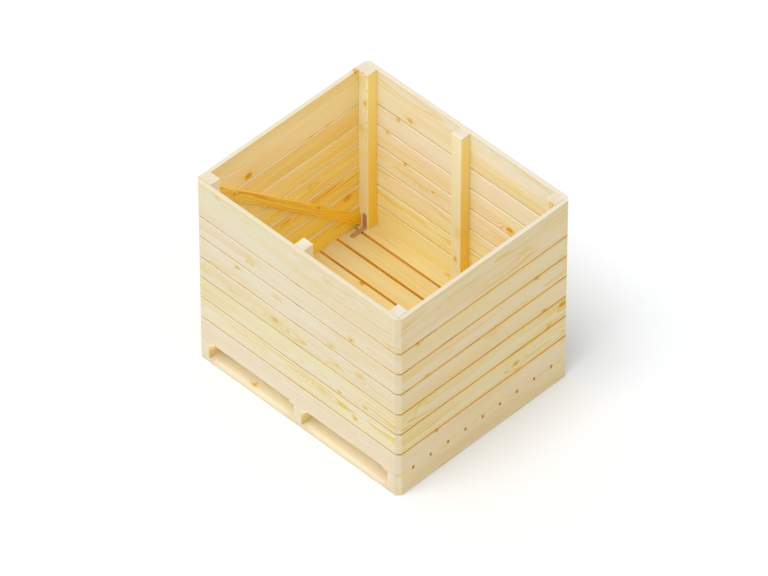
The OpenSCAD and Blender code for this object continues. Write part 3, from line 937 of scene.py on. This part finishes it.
def bracket_shape(corner, way, leg, width):
    """A flat strip with round ends, bent square, with eased edges."""
    half = width / 2
    bend = BRACKET_BEND + BRACKET_T
    ease = 0.0006
    straight = leg - bend
    quarter = math.pi / 2 * (bend - BRACKET_T / 2)
    total = straight + quarter / 2
    inner = [total - half + half * math.sin(math.radians(a)) for a in range(0, 91, 10)]
    bends = [quarter / 2 * i / 5 for i in range(0, 6)]
    ahead = inner + bends + [straight * 0.5]
    line = sorted(set(ahead + [-u for u in ahead]))

    def point(u, w, depth):
        """u along the strip from the bend's middle, w across it, depth down from its show face."""
        out = bend - BRACKET_T + depth
        if abs(u) <= quarter / 2:
            angle = math.pi / 4 * (1 + u / (quarter / 2))
            y, z = bend - out * math.sin(angle), bend - out * math.cos(angle)
        elif u > 0:
            y, z = bend - out, bend + (u - quarter / 2)
        else:
            y, z = bend + (-u - quarter / 2), bend - out
        return corner + Vector((w, way * y, z))

    points, faces = [], []
    layers = ((0.0, ease), (ease * 0.3, ease * 0.3), (ease, 0.0), (BRACKET_T - ease, 0.0),
              (BRACKET_T, ease))
    across = (-1, -0.5, 0, 0.5, 1)

    def rim(u, inset):
        reach = total - inset
        u = max(-reach, min(reach, u))
        beyond = abs(u) - (total - half)
        limit = half - inset
        wide = limit if beyond <= 0 else math.sqrt(max(limit ** 2 - beyond ** 2, 0.0))
        return u, max(wide, 0.00005)

    for depth, inset in layers:
        for u in line:
            at, wide = rim(u, inset)
            for share in across:
                points.append(point(at, wide * share, depth))
    rows, cols = len(line), len(across)
    size = rows * cols

    def index(layer, row, col):
        return layer * size + row * cols + col
    for layer in (0, len(layers) - 1):
        for r in range(rows - 1):
            for c in range(cols - 1):
                faces.append((index(layer, r, c), index(layer, r, c + 1),
                              index(layer, r + 1, c + 1), index(layer, r + 1, c)))
    edge = [(r, 0) for r in range(rows)] + [(rows - 1, c) for c in range(1, cols)]
    edge += [(r, cols - 1) for r in range(rows - 2, -1, -1)] + [(0, c) for c in range(cols - 2, 0, -1)]
    for layer in range(len(layers) - 1):
        for (r0, c0), (r1, c1) in zip(edge, edge[1:] + edge[:1]):
            faces.append((index(layer, r0, c0), index(layer, r1, c1),
                          index(layer + 1, r1, c1), index(layer + 1, r0, c0)))
    return points, faces


def screw_shape():
    """A pan-head screw pointing down -Z with its head on Z = 0 and a cross-shaped recess."""
    r, head, h = SCREW_RADIUS, SCREW_HEAD, SCREW_HEAD_H
    profile = [(0.0002, -SCREW_LENGTH - BRACKET_T), (r * 0.9, -SCREW_LENGTH)]
    turns = 6
    for i in range(turns * 2):
        z = -SCREW_LENGTH + (i + 1) * (SCREW_LENGTH - 0.001) / (turns * 2)
        profile.append((r if i % 2 else r * 0.72, z))
    profile += [(r, 0.0), (head * 0.96, 0.0), (head, 0.0004), (head * 0.97, h * 0.5),
                (head * 0.85, h * 0.78)]
    profile += [(head * f, h * (1 - 0.25 * f * f)) for f in (0.68, 0.55, 0.42, 0.30, 0.18, 0.06)]
    points, faces = lathe(profile, 32)
    arm, reach, depth = 0.00045, head * 0.60, 0.0012
    for p in points:
        if p.z > h * 0.6:
            across, along = sorted((abs(p.x), abs(p.y)))
            inside = max(0.0, 1 - (across / arm) ** 4) * max(0.0, 1 - (along / reach) ** 6)
            p.z -= depth * inside
    return points, faces


def make_brackets():
    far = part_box("corner_brackets")[1]
    leg = far.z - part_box("floor_board_1")[1].z
    width = 2 * (far.x - max(corner.x for corner, _ in bracket_sites()))
    shapes = [bracket_shape(corner, way, leg, width) for corner, way in bracket_sites()]
    brackets = joined("steel_corner_brackets", shapes)
    add_piece(brackets, "corner_brackets", STEELS["bracket_steel"])

    rng = random.Random("screws")
    screw = screw_shape()
    shapes = []
    for corner, way in bracket_sites():
        for d in FLOOR_LEG_SCREWS:
            place = corner + Vector((0, way * d, BRACKET_T))
            shapes.append(placed(screw, place, -Z, rng.uniform(0, math.tau)))
        for d in POST_LEG_SCREWS:
            place = corner + Vector((0, way * BRACKET_T, d))
            shapes.append(placed(screw, place, -way * Y, rng.uniform(0, math.tau)))
    screws = joined("steel_bracket_screws", shapes)
    add_piece(screws, "bracket_screws", STEELS["bracket_steel"])


# ------------------------ stage
STAGE_COLOUR = (0.955, 0.975, 1.0, 1.0)
SURROUND = 0.66         # brightness of the white surround
KEY_FROM = Vector((-0.04, -0.36, 1.0)).normalized()     # the lamp's direction and size
KEY_SPREAD = math.radians(28)
KEY_STRENGTH = 0.42     # brightness of a white card that faces the lamp
INSIDE_FILL = 0.42      # brightness of the soft panel over the box, which shines into it
PANEL_GAP = 0.02        # height of that panel over the rim
POCKET_FILL = 6.5       # brightness of the panels in the mouths of the fork pockets
POCKET_PANEL_Y = -1.004         # their place, as a share of half the box's width
POCKET_PANEL_DROP = 0.012       # how far their middle lies under the floor boards
POCKET_PANEL_HEIGHT, POCKET_PANEL_SHARE = 0.016, 0.96   # their height, and share of the pocket


def place_lamp(lamp, place, back):
    """Puts a lamp at a place with its unlit side turned to back."""
    holder = bpy.data.objects.new(lamp.name, lamp)
    holder.location = place
    holder.rotation_mode = "QUATERNION"
    holder.rotation_quaternion = back.to_track_quat("Z", "Y")
    bpy.context.scene.collection.objects.link(holder)


def soft_panel(name, place, width, height, back, radiance):
    panel = bpy.data.lights.new(name, "AREA")
    panel.shape = "RECTANGLE"
    panel.size, panel.size_y = width, height
    panel.energy = radiance * math.pi * width * height
    place_lamp(panel, place, back)


def make_stage():
    """A plain pale floor, a white surround, one broad soft lamp, and fill in the openings."""
    bpy.ops.mesh.primitive_plane_add(size=60, location=(0, 0, -0.0005))
    floor = bpy.context.object
    floor.name = "stage_floor"
    n = Nodes("stage_floor")
    n.feed(n.shader, {"Base Color": STAGE_COLOUR, "Roughness": 0.9, "Specular IOR Level": 0.0})
    floor.data.materials.append(n.material)

    world = bpy.data.worlds.new("studio")
    bpy.context.scene.world = world
    world.use_nodes = True
    background = world.node_tree.nodes["Background"].inputs
    background["Color"].default_value = (1, 1, 1, 1)
    background["Strength"].default_value = SURROUND

    key = bpy.data.lights.new("key", "SUN")
    key.angle = KEY_SPREAD
    key.energy = KEY_STRENGTH * math.pi
    place_lamp(key, KEY_FROM * 6, KEY_FROM)
    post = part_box("post_back_right")
    soft_panel("fill_inside", Vector((0, 0, TOP + PANEL_GAP)), 2 * post[0].x, 2 * post[0].y, Z,
               INSIDE_FILL)
    for side in ("left", "right"):
        outer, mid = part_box(f"stringer_{side}"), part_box("stringer_mid")
        inner_x = mid[0].x if side == "left" else mid[1].x
        outer_x = outer[1].x if side == "left" else outer[0].x
        centre = Vector(((inner_x + outer_x) / 2, POCKET_PANEL_Y * HALF_W, mid[1].z - POCKET_PANEL_DROP))
        width = abs(outer_x - inner_x) * POCKET_PANEL_SHARE
        soft_panel(f"fill_pocket_{side}", centre, width, POCKET_PANEL_HEIGHT, -Y, POCKET_FILL)
    view = bpy.context.scene.view_settings
    view.view_transform = "Standard"
    view.look = "None"


# ------------------------ everything
make_camera()
make_stage()

WOODS = {
    name: wood_material(name, rgb(*early), rgb(*late), rgb(*knot)) for name, early, late, knot in (
        ("wall_wood", (238, 229, 212), (233, 207, 120), (228, 182, 36)),
        ("post_wood", (238, 229, 210), (232, 205, 116), (228, 182, 36)),
        ("floor_wood", (238, 228, 206), (232, 204, 112), (228, 182, 36)),
        ("base_wood", (238, 229, 212), (233, 207, 120), (228, 182, 36)),
        ("brace_wood", (252, 208, 92), (234, 162, 26), (206, 130, 24)))
}
STEELS = {
    "bracket_steel": steel_material("bracket_steel", rgb(196, 152, 104), rgb(212, 176, 134),
                                    0.2, 0.42, 900.0),
    "nail_steel": steel_material("nail_steel", rgb(232, 198, 124), rgb(226, 202, 152),
                                 0.45, 0.42, 1500.0),
}

for wall in LONG_WALLS:
    for k in range(1, WALL_BOARDS + 1):
        board(f"{wall}_board_{k}", ALONG_X, wall_board_radii(k))
for wall in SHORT_WALLS:
    for k in range(1, WALL_BOARDS + 1):
        board(f"{wall}_board_{k}", ALONG_Y, wall_board_radii(k))
    board(f"side_board_{wall}", ALONG_Y, edge_radii(BOARD_EDGE, SEAM_EDGE))
    make_brace(f"brace_{wall}")
for k in range(1, FLOOR_BOARDS + 1):
    node = f"floor_board_{k}"
    middle, half = box_of(node)
    if k in (1, FLOOR_BOARDS):
        sign = -1 if k == 1 else 1
        kink = sign * (HALF_W - BOARD_T) - middle.y
        ramp = fork_ramp(0 if k == 1 else 1)
        board(node, ALONG_X, [SEAM_EDGE] * 4, ramp=ramp, splits=(kink,))
    else:
        board(node, ALONG_X, [SEAM_EDGE] * 4)
for wall in LONG_WALLS:
    board(f"skid_{wall}", ALONG_X, edge_radii(TIMBER_EDGE, SEAM_EDGE),
          ramp=fork_ramp(3 if wall == "front" else 2))
    for post in POSTS:
        square_timber(f"post_{wall}_{post}", (Z, X, Y), TIMBER_EDGE)
for post in POSTS:
    square_timber(f"stringer_{post}", ALONG_Y, SEAM_EDGE)
make_nails()
make_brackets()
